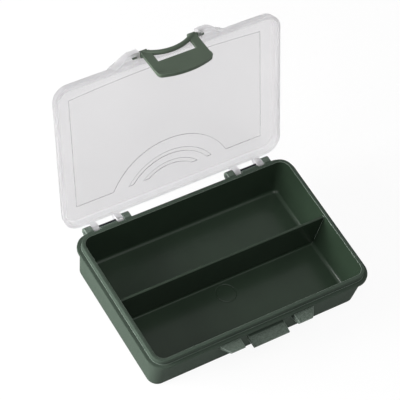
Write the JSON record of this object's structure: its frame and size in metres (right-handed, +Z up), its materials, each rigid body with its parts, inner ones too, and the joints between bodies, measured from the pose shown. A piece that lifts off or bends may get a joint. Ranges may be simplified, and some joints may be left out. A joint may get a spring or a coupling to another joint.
{
  "type": "pocket tackle box",
  "caption": "Shallow rectangular moulded box with two compartments, a translucent lid on rear pinned hinges and a swinging window latch at the front.",
  "frame": {"origin": "centre of the tray's flat underside, in the middle of the width and depth of the closed box", "axes": "+X along the width, parallel to the hinge pins; +Y from the latch side to the hinge side; +Z up, out of the open tray"},
  "size_m": [0.105, 0.1062, 0.0872],
  "materials": {
    "tray_green": "fine satin moulded polypropylene, dark green",
    "lid_frosted": "frosted translucent polypropylene, natural",
    "latch_green": "fine satin moulded polypropylene, grey green",
    "pin_steel": "plain drawn steel wire, dark"
  },
  "bodies": {
    "base": {"base_tray": "tray_green", "hinge_pin_left": "pin_steel", "hinge_pin_right": "pin_steel"},
    "lid": {"lid": "lid_frosted"},
    "latch": {"latch": "latch_green"}
  },
  "joints": [
    {"name": "lid_hinge", "type": "hinge", "parent": "base", "child": "lid", "pos_m": [0, 0.0365, 0.0155], "axis": [1, 0, 0], "range_deg": [0, 109]},
    {"name": "latch_pivot", "type": "hinge", "parent": "lid", "child": "latch", "pos_m": [0, 0.06399, 0.08366], "axis": [-1, 0, 0], "range_deg": [0, 170]}
  ]
}
